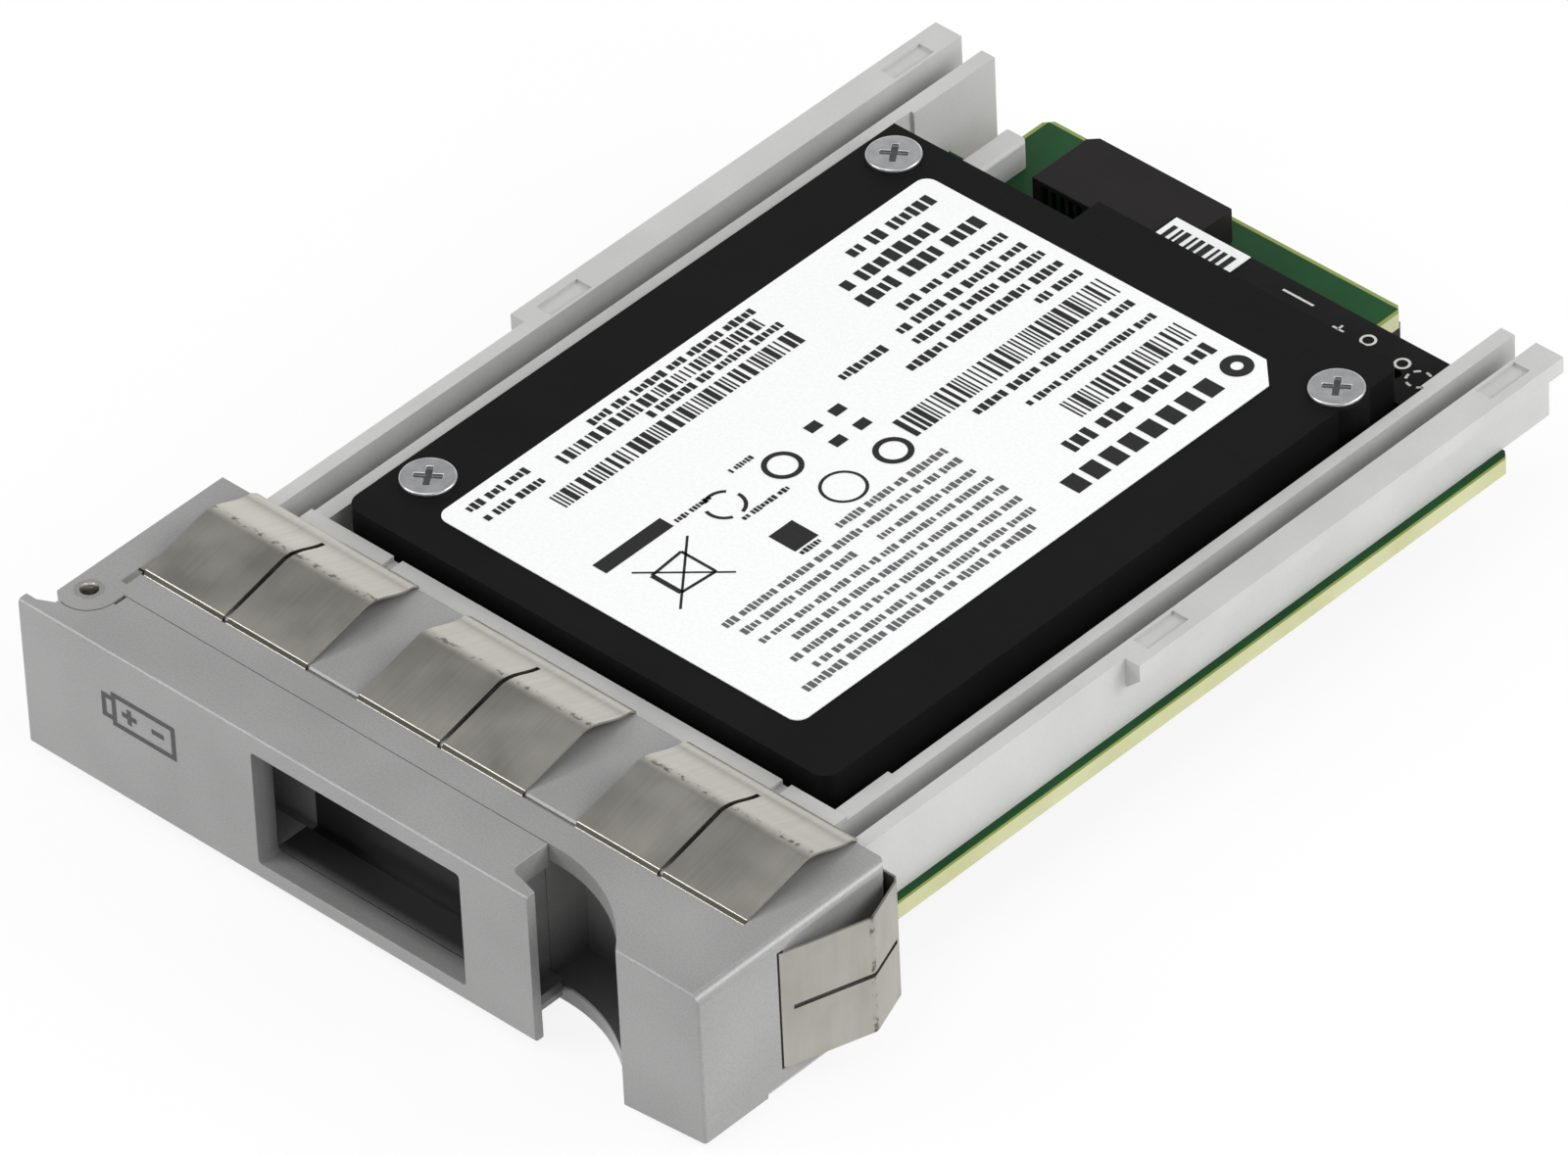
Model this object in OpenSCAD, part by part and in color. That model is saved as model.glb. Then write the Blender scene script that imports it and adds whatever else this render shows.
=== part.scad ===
// Hot-swap backup-battery module for a disk bay: a painted bezel with an ejector lever,
// a moulded tray on a carrier board, and a screwed-down battery pack.
// X runs across the module, Y from the front face to the rear, Z up.
// The origin is on the bay's centre plane, at the front face, level with the lowest surface.

/* [Bezel] */
// Width of the fixed bezel body
body_w = 74.3; // [72:0.1:76]
// Depth of the bezel body from the front face
body_d = 22; // [20:0.5:24]
// Height of the bezel body
body_h = 16.2; // [15:0.1:17]
// Thickness of the bezel's top and bottom plates
plate_t = 1.8; // [1.4:0.1:2.2]
// Thickness of the bezel's upright walls
wall_t = 1.5; // [1.2:0.1:2]
// Radius of the finger scoop in the two plates
scoop_r = 15.1; // [14:0.1:16]

/* [Ejector lever] */
// Height of the lever's underside above the floor
lever_z = 0.9; // [0.6:0.1:1.2]
// Thickness of the front panel
panel_t = 1.6; // [1.2:0.1:2]
// Depth of the lever's top and bottom flanges
flange_d = 5.95; // [5.5:0.05:6]
// Width of the window in the panel
window_w = 23.3; // [18:0.1:26]
// Height of the window in the panel
window_h = 11.7; // [9:0.1:12]
// Outer diameter of the hollow hinge pin
pin_d = 2.45; // [2.2:0.05:2.6]

/* [Shield springs] */
// Number of bowed fingers on the top strip
finger_n = 3; // [1:1:3]
// Width of one finger
finger_w = 18.5; // [16:0.5:20]
// Distance from finger to finger
finger_pitch = 24.3; // [22:0.1:24.6]
// Height of the finger crest over the bezel
finger_rise = 2; // [1.4:0.1:2.4]
// Thickness of the spring sheet
sheet_t = 0.2; // [0.15:0.01:0.25]

/* [Tray and boards] */
// Distance from the front face to the rear end of the rails
rail_end = 106.3; // [100:0.1:108]
// Width over the outer rail faces
rail_w = 67.2; // [66:0.1:68]
// Thickness of the circuit boards
board_t = 1.6; // [1:0.1:2]
// Height of the carrier board's underside
board_z = 6.3; // [6:0.1:6.6]
// Distance from the front face to the end of the connector tongue
tongue_end = 109.2; // [108:0.1:111]

/* [Battery pack] */
// Width of the battery cover
pack_w = 54; // [50:0.5:55]
// Length of the battery cover
pack_l = 69.7; // [66:0.1:70]
// Size of the lithium cell
cell_size = [42, 61, 4.1]; // [4:0.1:61]
// Diameter of the battery screw heads
screw_head_d = 4.9; // [4.5:0.1:5.2]

/* [Hidden] */
$fn = 48;
eps = 0.01;
gap = 0.05;                          // clearance between the lever and the body
plastic = [0.60, 0.60, 0.59];
tray_grey = [0.78, 0.78, 0.77];
steel = [0.72, 0.71, 0.68];
zinc = [0.75, 0.76, 0.77];
black = [0.13, 0.13, 0.13];
gold = [0.85, 0.68, 0.32];

body_x = body_w / 2;
lip_y = flange_d + gap;              // front edge of the body's top lip
scoop_c = [16.15, lip_y - scoop_r];
scoop_x = scoop_c.x + sqrt(scoop_r * scoop_r - scoop_c.y * scoop_c.y);  // where the scoop meets the front
bay_x = 14.65;                       // left wall of the finger recess
bay_y = 10.4;                        // back wall of the finger recess
bay_t = 1.3;                         // thickness of that left wall
web_y = 7.1;                         // wall behind the window
top_z = body_h - plate_t;

pin_c = [1.9 - body_x, 4.66];
lug_r = 2.65;
lug_t = 1.4;
hub_r = 1.85;
tab_low = [-34, 7.1, 14.9];           // small sheet tab beside the hinge
tab_high = [-33.4, 11.3, 16.25];
running = 0.05;                      // radial play of the lever on its pin

lever_left = -38.85;
lever_right = 18.45;
lever_end = [15.15, 16.15];           // right ends of the lever's top and bottom flanges
lever_edge = 0.45;                   // radius of the lever's long front edges
ear_root = [-36.23, 1.72];
lever_h = body_h - lever_z;
flange_t = 2.4;
lap = 0.85;                          // how far the lever's tongue reaches under the lip
window_x = -12.45;
window_z = 2.6;
frame_d = 2.35;
frame_t = 1.2;

finger_y0 = 9.2;
finger_crest_y = 16.3;
strip_y = body_d + sheet_t;
slit_w = 0.45;
slit_end = 20.6;
groove_x = [-33.45, 33.8];           // groove that takes the strip's front edges
clip_z = [2.9, 14.8];
clip_crest = [2.5, 17.2];            // how far the side clip stands out, and where

board_top = board_z + board_t;
board_x = 34.65;
board_y0 = 13;
board_end = 100.4;
tongue_x = [-25.1, 15.2];

rail_x = rail_w / 2;
rail_t = 1.39;
rail_top = 14.87;
inner_x = 29.9;
inner_top = 14.47;
inner_t = [1.6, 1.14, 1.5];          // inner wall thickness at the front, beside the pack and behind it
inner_step = [31.5, 96.2];
tail_z = 5.2;                        // the inner wall reaches down behind the board
shelf_x = 21.9;
shelf_top = 10.8;
shelf_end = 97.4;
bar_w = 2.5;                         // the shelf runs on as a narrow bar
bar_end = 103.1;
cross_y = [22.4, 24.95];
runner_y = 54;                       // where the wide runner starts
runner_x = 35.2;
runner_t = 1.6;
pad_size = [1.75, 4.9];
pad_y = [56.1, 98.3];

pack_y = 25.8;
pack_top = 16.4;
pack_r = 1.6;
pack_wall = 1;
pack_skin = 0.6;
pack_notch = [-6.7, 92.3];           // the rear left of the cover stops short
boss_r = 2.75;
screw_at = [[-23.9, 32.6], [-23.95, 88.95], [25.05, 89.55]];
screw_d = 2.5;
screw_head_t = 0.4;

cell_c = [0, 27.6];
base_t = 0.6;
cell_z = shelf_top + base_t;
pack_board_t = 1;
pack_board_x = [-4.5, 28.25];
pack_board_y = [89.4, 102.4];

conn_x = [-17.65, -1.85];
conn_y = [99, 106.7];
conn_top = 11.4;

plug_x = [-24.6, 14.7];
plug_y0 = 101;

bezel_screw_at = [[-24, 16.5], [24, 16.5]];
tray_screw_at = [[-25.4, 42], [25.4, 42], [-25.4, 96], [25.4, 96]];

// ---------- shared shapes ----------

// A box given by its lowest and highest corners
module span(low, high) {
    translate(low) cube(high - low);
}

// A rectangle with four round corners
module round_rect(low, high, r) {
    size = high - low;
    translate([low.x + r, low.y]) square([size.x - 2 * r, size.y]);
    translate([low.x, low.y + r]) square([size.x, size.y - 2 * r]);
    for (x = [low.x + r, high.x - r], y = [low.y + r, high.y - r]) translate([x, y]) circle(r);
}

// A flat profile drawn in Y and Z, pulled along X from x0 to x1
module along_x(x0, x1) {
    translate([x0, 0, 0]) rotate([90, 0, 90]) linear_extrude(x1 - x0) children();
}

// A flat profile drawn in X and Z, pulled along Y from y0 to y1
module along_y(y0, y1) {
    translate([0, y1, 0]) rotate([90, 0, 0]) linear_extrude(y1 - y0) children();
}

// Points of a quadratic curve through its end points a and c
function bow(a, b, c, n) = [for (i = [0:n]) let (t = i / n)
    (1 - t) * (1 - t) * a + 2 * t * (1 - t) * b + t * t * c];

// A sheet profile: a line of points and the same line set off by the sheet's thickness
function sheet(line, t) = let (n = len(line) - 1) concat(line, [for (i = [n:-1:0])
    let (d = line[min(i + 1, n)] - line[max(i - 1, 0)], k = t / norm(d))
    line[i] + k * [d.y, -d.x]]);

// What is cut off to round a convex corner at p; its outer side faces the angle a + 45
module corner_cut(p, a, r) {
    translate(p) rotate(a) translate([-r, -r]) difference() {
        square(r + 1);
        circle(r, $fn = 24);
    }
}

// A flat-headed screw that points down from its seat, with a cross recess
module screw(head_d, head_t, shank_d, shank_l) {
    rim = head_t * 0.3;
    difference() {
        union() {
            cylinder(h = head_t - rim, d = head_d);
            translate([0, 0, head_t - rim]) cylinder(h = rim, r1 = head_d / 2, r2 = head_d / 2 - rim);
            translate([0, 0, -shank_l]) cylinder(h = shank_l + eps, d = shank_d, $fn = 12);
        }
        for (a = [35, 125]) rotate(a) translate([-head_d * 0.25, -head_d * 0.06, head_t * 0.3])
            cube([head_d * 0.5, head_d * 0.12, head_t]);
    }
}

// ---------- bezel body ----------

// Outline of the body's top and bottom plates, with the finger scoop
module plate_outline() {
    difference() {
        union() {
            translate([-body_x, lip_y]) square([body_w, body_d - lip_y]);
            translate([scoop_c.x, 0]) square([body_x - scoop_c.x, lip_y + 1]);
        }
        translate(scoop_c) circle(scoop_r, $fn = 128);
    }
}

// Ear of the plates that holds the hinge pin, cut off flush with the body's side
module lug_outline() {
    intersection() {
        union() {
            translate(pin_c) circle(lug_r);
            translate([pin_c.x - lug_r, pin_c.y]) square([2 * lug_r, lip_y - pin_c.y + 0.5]);
        }
        translate([-body_x, 0]) square([12, 12]);
    }
}

// Upright walls behind the window and round the finger recess
module body_walls() {
    z0 = plate_t - eps;
    z1 = top_z + eps;
    span([-body_x, web_y - 0.1, z0], [wall_t - body_x, body_d, z1]);
    span([body_x - wall_t, 0, z0], [body_x, body_d, z1]);
    span([-body_x, web_y, z0], [bay_x, web_y + wall_t, z1]);
    span([bay_x - bay_t, lip_y, z0], [bay_x, bay_y + wall_t, z1]);
    span([bay_x - bay_t, bay_y, z0], [scoop_x + wall_t, bay_y + wall_t, z1]);
    span([scoop_x, 0, z0], [scoop_x + wall_t, bay_y + wall_t, z1]);
    span([scoop_x, 0, z0], [body_x, wall_t, z1]);
    span([-body_x, body_d - wall_t, z0], [body_x, body_d, z1]);
}

module body_bosses() {
    for (p = bezel_screw_at) translate([p.x, p.y, plate_t - eps])
        cylinder(h = board_z - plate_t + eps, d = 7.6, $fn = 24);
    for (x = [-12, 0, 12]) span([x - 0.5, web_y, top_z - 1.2], [x + 0.5, body_d - 0.6, top_z + eps]);
}

// Outer edges: round above and at the right, chamfered low at the right behind the block
module body_edges() {
    along_y(-1, body_d + 1) corner_cut([body_x, body_h], 0, 0.95);
    translate([0, 0, -1]) linear_extrude(body_h + 2) {
        corner_cut([body_x, body_d], 0, 1);
        corner_cut([body_x, 0], 270, 0.3);
    }
    along_x(scoop_x - 1, body_x + 1) corner_cut([0, body_h], 90, 0.35);
    along_y(7.3, body_d + 1) polygon([[body_x - 2, -1.45], [body_x + 1, 2.9], [body_x + 1, -1.45]]);
    along_y(-1, 7.3) polygon([[scoop_x, -eps], [body_x + 1, -eps], [body_x + 1, 1]]);
}

module bezel_body() {
    color(plastic) difference() {
        union() {
            linear_extrude(plate_t) plate_outline();
            linear_extrude(plate_t) lug_outline();
            translate([0, 0, top_z]) linear_extrude(plate_t) plate_outline();
            translate([0, 0, body_h - lug_t]) linear_extrude(lug_t) lug_outline();
            body_walls();
            body_bosses();
        }
        body_edges();
        // room for the lever's tongue under the lip
        span([pin_c.x + lug_r - eps, lip_y - 1, top_z - 1],
            [bay_x - bay_t - 0.1, lip_y + lap + 0.15, body_h - 1.2]);
        // the lever's hub turns under the lug
        translate([pin_c.x, pin_c.y, top_z - 2]) cylinder(h = body_h - lug_t - top_z + 2, r = hub_r + 0.15);
        translate([pin_c.x, pin_c.y, -1]) cylinder(h = body_h + 4, d = pin_d);
        // grooves that take the front edges of the two springs
        translate([0, finger_y0, body_h]) along_x(groove_x[0], groove_x[1])
            polygon([[-0.45, 1], [-0.45, -0.4], [0, -0.4], [0, -0.18], [0.18, 0], [0.18, 1]]);
        span([body_x - 0.5, finger_y0 - 0.2, clip_z[0] - 0.15],
            [body_x + 1, finger_y0 + 0.5, clip_z[1] + 0.15]);
        for (p = bezel_screw_at) translate([p.x, p.y, -1]) {
            cylinder(h = board_z + 2, d = 2.7, $fn = 16);
            cylinder(h = 3.6, d = 5.2, $fn = 24);
        }
        // rear opening for the board and the tray's lugs
        span([-31.5, body_d - wall_t - 1, board_z - 0.3], [31.5, body_d + 1, board_top + 3.3]);
        // slot of the small sheet tab beside the hinge
        span(tab_low, tab_high + [0, 0, 1]);
    }
}

// ---------- ejector lever ----------

module lever_plan(end) {
    // the ear left of the pin is a wedge, thin at its tip
    polygon([[lever_left, 0], [lever_left, 0.42], ear_root, [pin_c.x + 0.6, flange_d],
        [end, flange_d], [end, panel_t], [end + 1, panel_t], [lever_right, panel_t - 0.6], [lever_right, 0]]);
}

// The top flange meets the panel in a hollow curve
module top_flange() {
    r = 0.9;
    lever_plan(lever_end[0]);
    difference() {
        translate([lever_end[0] - eps, panel_t - eps]) square(r);
        translate([lever_end[0] + r, panel_t + r]) circle(r, $fn = 24);
    }
}

module bottom_flange() {
    difference() {
        lever_plan(lever_end[1]);
        corner_cut([lever_end[1], flange_d], 0, 0.6);
    }
}

// Room in the lever for one of the body's lugs
module lug_room(low, high, play) {
    translate([0, 0, low]) linear_extrude(high - low) {
        translate(pin_c) circle(lug_r + play);
        translate([pin_c.x - 6, pin_c.y]) square([9, 6]);
    }
}

module ejector_lever() {
    win = [window_x, window_z];
    color(plastic) difference() {
        union() {
            translate([0, 0, body_h - flange_t]) linear_extrude(flange_t) top_flange();
            translate([0, 0, lever_z]) linear_extrude(panel_t) bottom_flange();
            span([lever_left, 0, lever_z], [lever_right, 1, body_h]);
            // tongue that laps under the body's lip
            span([pin_c.x + 3, flange_d - eps, top_z - 0.6],
                [bay_x - bay_t - 0.3, flange_d + lap, top_z + 0.4]);
            // wall that closes the lever's right end
            span([bay_x - bay_t, 0.8, lever_z], [bay_x, flange_d, top_z]);
            // hub round the pin
            translate([pin_c.x, pin_c.y, lever_z]) cylinder(h = lever_h, r = hub_r);
            span([ear_root.x, 0.5, lever_z], [pin_c.x + hub_r, pin_c.y, body_h]);
            // frame round the window
            span([win.x - frame_t, 0.5, win.y - frame_t],
                [win.x + window_w + frame_t, frame_d, win.y + window_h + frame_t]);
        }
        along_y(-1, frame_d + 1) round_rect(win, win + [window_w, window_h], 0.4, $fn = 16);
        along_x(lever_left - 1, lever_right + 1) {
            corner_cut([0, body_h], 90, lever_edge);
            corner_cut([0, lever_z], 180, lever_edge);
        }
        lug_room(body_h - lug_t - 0.1, body_h + 3, 0.08);
        lug_room(-1, plate_t + 0.15, 0.2);
        translate([pin_c.x, pin_c.y, -1]) cylinder(h = body_h + 3, r = pin_d / 2 + running);
    }
}

module hinge_pin() {
    top = body_h + 0.05;
    color(steel) translate([pin_c.x, pin_c.y, 0.2]) difference() {
        cylinder(h = top - 0.2, d = pin_d);
        translate([0, 0, top - 6]) cylinder(h = 6, d = 1.5);
        translate([0, 0, top - 0.45]) cylinder(h = 0.5, r1 = 0.75, r2 = 0.9);
    }
}

// ---------- shield springs ----------

function finger_x(i) = (i - (finger_n - 1) / 2) * finger_pitch + 0.2;

// Underside of the strip at a finger: tucked front edge, flat slope, crest, fold behind the body
function finger_line() = let (top = body_h + finger_rise - sheet_t, y = finger_crest_y) concat(
    [[finger_y0 - 0.2, body_h - 0.35], [finger_y0 + 0.15, body_h + 0.03], [y - 0.1, top - 0.02]],
    bow([y + 0.2, top], [y + 1.1, top - 0.02], [y + 2.3, body_h + 1.24], 4),
    bow([y + 2.6, body_h + 1.12], [y + 4, body_h + 0.5], [y + 5.2, body_h + 0.42], 4),
    [[body_d + 0.02, body_h + 0.15], [body_d + 0.02, body_h - 3]]);

module top_spring_strip() {
    x0 = finger_x(0) - finger_w / 2;
    x1 = finger_x(finger_n - 1) + finger_w / 2;
    color(steel) {
        difference() {
            for (i = [0:finger_n - 1]) let (x = finger_x(i))
                along_x(x - finger_w / 2, x + finger_w / 2) polygon(sheet(finger_line(), -sheet_t));
            for (i = [0:finger_n - 1]) let (x = finger_x(i))
                span([x - slit_w / 2, finger_y0 - 1, body_h - 1], [x + slit_w / 2, slit_end, body_h + 4]);
        }
        // the fingers hang on one band behind the body
        span([x0, body_d + 0.02, body_h - 3], [x1, strip_y, body_h - 0.2]);
    }
}

// Inner side of the clip: tucked front edge, flat slope, crest, fold round the body's corner
function clip_line() = let (x = body_x, y = finger_y0, c = clip_crest) [
    [x - 0.3, y], [x + 0.04, y + 0.35],
    [x + c.x - 0.06, c.y - 0.2], [x + c.x, c.y], [x + c.x - 0.06, c.y + 0.3],
    [x + 0.95, body_d - 0.35], [x + 0.6, body_d + 0.02], [x - 2.5, body_d + 0.02]];

module side_spring_clip() {
    mid = (clip_z[0] + clip_z[1]) / 2;
    tall = clip_z[1] - clip_z[0];
    color(steel) difference() {
        translate([0, 0, clip_z[0]]) linear_extrude(tall) polygon(sheet(clip_line(), sheet_t));
        span([body_x, finger_y0 + 1, mid - slit_w / 2], [body_x + 4, body_d - 0.6, mid + slit_w / 2]);
    }
}

module shield_tab() {
    color(steel) span(tab_low, tab_high);
}

// ---------- tray ----------

// Section of the right-hand rail: outer wall, channel, inner wall and battery shelf
module rail_section() {
    translate([rail_x - rail_t, board_top]) square([rail_t, rail_top - board_top]);
    translate([inner_x - inner_t[1], board_top]) square([inner_t[1], inner_top - board_top]);
    translate([inner_x - 1.5, board_top]) square([rail_x - inner_x + 1.5, 1.2]);
}

module runner_section() {
    polygon([[rail_x - 0.5, rail_top], [runner_x, rail_top], [runner_x, rail_top - runner_t],
        [rail_x + 0.2, rail_top - 2.9], [rail_x - 0.5, rail_top - 2.9]]);
}

// The narrow bar behind the shelf, round along its top
module bar_section() {
    round_rect([shelf_x, board_top - 2], [shelf_x + bar_w, shelf_top], 0.45, $fn = 16);
}

module rail() {
    difference() {
        union() {
            along_y(cross_y[0], rail_end) rail_section();
            along_y(runner_y, rail_end) runner_section();
            span([inner_x - inner_t[0], cross_y[0], board_top], [inner_x, inner_step[0], inner_top]);
            span([inner_x - inner_t[2], inner_step[1], board_top], [inner_x, rail_end, inner_top]);
            span([inner_x - inner_t[2], board_end + 0.1, tail_z], [inner_x, rail_end, inner_top]);
            span([shelf_x, cross_y[1] - 1, board_top], [inner_x - 0.5, shelf_end, shelf_top]);
            difference() {
                along_y(shelf_end - 1, bar_end) bar_section();
                span([shelf_x - 1, 0, 0], [shelf_x + 4, bar_end + 1, board_top]);
                translate([0, 0, board_top - 1]) linear_extrude(9) corner_cut([shelf_x, bar_end], 90, 0.45);
            }
        }
        for (y = pad_y) translate([rail_x - 1.1, y, rail_top - 0.3]) cube([pad_size.x, pad_size.y, 1]);
    }
}

module tray() {
    color(tray_grey) difference() {
        union() {
            rail();
            mirror([1, 0, 0]) rail();
            span([-inner_x, cross_y[0], board_top], [inner_x, cross_y[1], rail_top]);
            // lugs that reach into the bezel for its two screws
            for (p = bezel_screw_at)
                span([p.x - 4, p.y - 4, board_top], [p.x + 4, cross_y[0] + 1, board_top + 3]);
        }
        for (p = screw_at) translate([p.x, p.y, board_top - 1]) cylinder(h = 6, d = 3.4, $fn = 16);
        for (p = bezel_screw_at) translate([p.x, p.y, board_top - 1]) cylinder(h = 5, d = 2, $fn = 12);
        for (p = tray_screw_at) translate([p.x, p.y, board_top - 1]) cylinder(h = 3.4, d = 2, $fn = 12);
        // two notches in the front cross wall
        for (x = [-20, 23.4]) translate([x - 0.5, cross_y[0] - 1, rail_top - 0.5]) cube([1, 6, 2]);
    }
}

// ---------- boards and their parts ----------

module carrier_board() {
    color([0.10, 0.33, 0.16]) translate([0, 0, board_z]) linear_extrude(board_t) difference() {
        union() {
            translate([-board_x, cross_y[0] + 0.3]) square([2 * board_x, board_end - cross_y[0] - 0.3]);
            translate([-31, board_y0]) square([62, 12]);
            translate([tongue_x[0], board_end - 1])
                square([tongue_x[1] - tongue_x[0], tongue_end - board_end + 1]);
        }
        // the rear corners are clipped
        for (x = [-board_x, board_x]) translate([x, board_end]) rotate(45) square(1.1, center = true);
        for (x = tongue_x) translate([x, tongue_end]) rotate(45) square(1.1, center = true);
        for (p = bezel_screw_at) translate(p) circle(d = 2.8, $fn = 16);
        for (p = tray_screw_at) translate(p) circle(d = 2.4, $fn = 16);
    }
}

// Packages under the board: [x, y, width, length, height]
chips = [[-14, 40, 9, 9, 1.2], [8, 36, 6, 5, 1], [16, 62, 5, 6, 1.5], [-20, 66, 4, 5, 1.2],
    [-2, 78, 7, 7, 1.1]];
passives = [[0, 52, 6.5, 6.5, 2.8], [10, 52, 3.5, 2.8, 1.9], [10, 57, 3.5, 2.8, 1.9], [-10, 56, 3.2, 1.6, 1],
    [-10, 60, 3.2, 1.6, 1], [18, 74, 3.2, 1.6, 1], [18, 78, 3.2, 1.6, 1], [-18, 82, 3.2, 1.6, 1],
    [4, 88, 3.2, 1.6, 1], [-6, 90, 3.2, 1.6, 1]];

module hang(list) {
    for (c = list) translate([c[0] - c[2] / 2, c[1] - c[3] / 2, board_z - c[4]]) cube([c[2], c[3], c[4]]);
}

module board_chips() {
    color(black) hang(chips);
}

module board_passives() {
    color([0.45, 0.38, 0.28]) hang(passives);
}

module board_connector() {
    step_x = pack_board_x[0] - 0.2;
    step_y = pack_board_y[1] + 0.15;
    color(black) difference() {
        span([conn_x[0], conn_y[0], board_top], [conn_x[1], conn_y[1], conn_top]);
        // the battery's board plugs in here
        span([step_x, conn_y[0] - 1, shelf_top - 0.1], [conn_x[1] + 1, step_y, conn_top + 1]);
        // the mouth that shows the contact springs
        span([conn_x[0] + 1.1, conn_y[0] - 1, board_top + 0.6],
            [conn_x[0] + 6.8, conn_y[0] + 1.2, conn_top - 0.5]);
        translate([conn_x[0], conn_y[1], board_top]) rotate(45) cube([1.2, 1.2, 12], center = true);
    }
}

module board_contacts() {
    color(black) for (i = [0:5]) let (x = conn_x[0] + 1.5 + i * 0.95)
        span([x, conn_y[0] + 0.35, board_top + 0.6], [x + 0.45, conn_y[0] + 1.2, conn_top - 0.5]);
}

// Rear plug: a shell with two guide posts and a keyed blade between them
module backplane_plug() {
    color(black) difference() {
        union() {
            span([plug_x[0], plug_y0, 0.8], [plug_x[1], plug_y0 + 3.4, board_z]);
            for (x = [plug_x[0], plug_x[1] - 3.2]) span([x, plug_y0, 0], [x + 3.2, tongue_end, board_z]);
            span([plug_x[0] + 4.6, plug_y0, 3.1], [plug_x[1] - 4.6, tongue_end - 1, 4.3]);
            for (x = [plug_x[0] + 4.6, plug_x[1] - 5.6])
                span([x, plug_y0, 2.2], [x + 1, tongue_end - 1, 4.3]);
        }
        for (x = [plug_x[0] + 1, plug_x[1] - 2.2]) translate([x, tongue_end - 2.6, -1]) cube([1.2, 4, 2.2]);
    }
}

module backplane_contacts() {
    n = 22;
    step = 1.27;
    color(gold) for (i = [0:n - 1]) let (x = (plug_x[0] + plug_x[1]) / 2 + (i - (n - 1) / 2) * step)
        span([x - 0.35, plug_y0 + 3.4, 3], [x + 0.35, tongue_end - 1.6, 3.1]);
}

// ---------- battery pack ----------

module pack_outline(inset) {
    y1 = pack_y + pack_l;
    difference() {
        union() {
            round_rect([inset - pack_w / 2, pack_y + inset], [pack_w / 2 - inset, y1 - inset],
                pack_r - inset / 2);
            translate(screw_at[2]) circle(boss_r - inset);
        }
        translate([-pack_w, pack_notch.y - inset]) square([pack_w + pack_notch.x + inset, 20]);
    }
}

module battery_cover() {
    color(black) difference() {
        translate([0, 0, shelf_top]) linear_extrude(pack_top - shelf_top) pack_outline(0);
        difference() {
            translate([0, 0, shelf_top - 1]) linear_extrude(pack_top - pack_skin - shelf_top + 1)
                pack_outline(pack_wall);
            // screw posts and the ribs that hold the cell
            for (p = screw_at) translate([p.x, p.y, 0]) cylinder(h = pack_top, r = 2.6, $fn = 24);
            for (x = [-cell_size.x / 2 - 1, cell_size.x / 2 + 0.2], y = [38, 58, 78])
                span([x, y, cell_z], [x + 0.8, y + 4, pack_top]);
        }
        // gap under the rear wall for the pack's board
        span([pack_board_x[0] - 0.2, pack_y + pack_l - pack_wall - eps, shelf_top - 1],
            [25.8, 120, shelf_top + pack_board_t + 0.1]);
        for (p = screw_at) translate([p.x, p.y, 0]) cylinder(h = 30, d = 2.9, $fn = 16);
    }
}

module battery_label() {
    color("white") translate([0, 0, pack_top]) linear_extrude(0.08) difference() {
        round_rect([-20.1, 29.5], [20.5, 88.7], 1.2);
        translate([20.5, 88.7]) rotate(45) square([3.4, 6], center = true);
    }
}

module lithium_cell() {
    color([0.75, 0.76, 0.78]) translate([-cell_size.x / 2, cell_c.y, cell_z])
        difference() {
            cube(cell_size);
            for (x = [0, cell_size.x]) translate([x, 0, 0]) rotate([0, 45, 0])
                cube([0.8, 200, 0.8], center = true);
        }
}

module cell_pad() {
    color([0.2, 0.2, 0.2])
        span([-19, cell_c.y + 3, cell_z + cell_size.z], [19, cell_c.y + 57, pack_top - pack_skin]);
}

module cell_tabs() {
    y = cell_c.y + cell_size.y;
    color(zinc) for (x = [3, 14]) {
        span([x, y, cell_z + 2], [x + 4, y + 0.3, cell_z + 2.9]);
        span([x, y, shelf_top + pack_board_t], [x + 4, y + 3.4, shelf_top + pack_board_t + 0.15]);
        span([x, y, shelf_top + pack_board_t], [x + 4, y + 0.3, cell_z + 2.9]);
    }
}

module battery_base() {
    color(black) difference() {
        span([-25.5, pack_y + 1.5, shelf_top], [25.5, cell_c.y + cell_size.y + 0.2, cell_z]);
        for (p = screw_at) translate([p.x, p.y, 0]) cylinder(h = 20, r = 2.75, $fn = 24);
    }
}

module battery_board() {
    color(black) translate([0, 0, shelf_top]) linear_extrude(pack_board_t) difference() {
        union() {
            translate([pack_board_x[0], pack_board_y[0]]) square([25, 10]);
            translate([pack_board_x[0], 92.4]) square([25.6 - pack_board_x[0], pack_board_y[1] - 92.4]);
            translate([pack_board_x[0], 95.7])
                square([pack_board_x[1] - pack_board_x[0], pack_board_y[1] - 95.7]);
        }
        translate([23.5, pack_y + pack_l + 3]) circle(d = 1.2, $fn = 24);
    }
}

module code_label() {
    z = shelf_top + pack_board_t;
    color("white") span([-4.2, pack_y + pack_l + 0.9, z], [4.1, pack_board_y[1] - 0.05, z + 0.08]);
}

// ---------- fasteners ----------

module battery_screws() {
    color(zinc) for (p = screw_at) translate([p.x, p.y, pack_top])
        screw(screw_head_d, screw_head_t, screw_d, 7.4);
}

module battery_inserts() {
    color(gold) for (p = screw_at) translate([p.x, p.y, board_top]) difference() {
        cylinder(h = shelf_top - board_top, d = 3.4, $fn = 16);
        translate([0, 0, -1]) cylinder(h = 6, d = screw_d, $fn = 12);
    }
}

module tray_screws() {
    color(zinc) for (p = tray_screw_at) translate([p.x, p.y, board_z]) mirror([0, 0, 1])
        screw(4, 0.9, 2, 3.6, $fn = 20);
}

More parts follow.
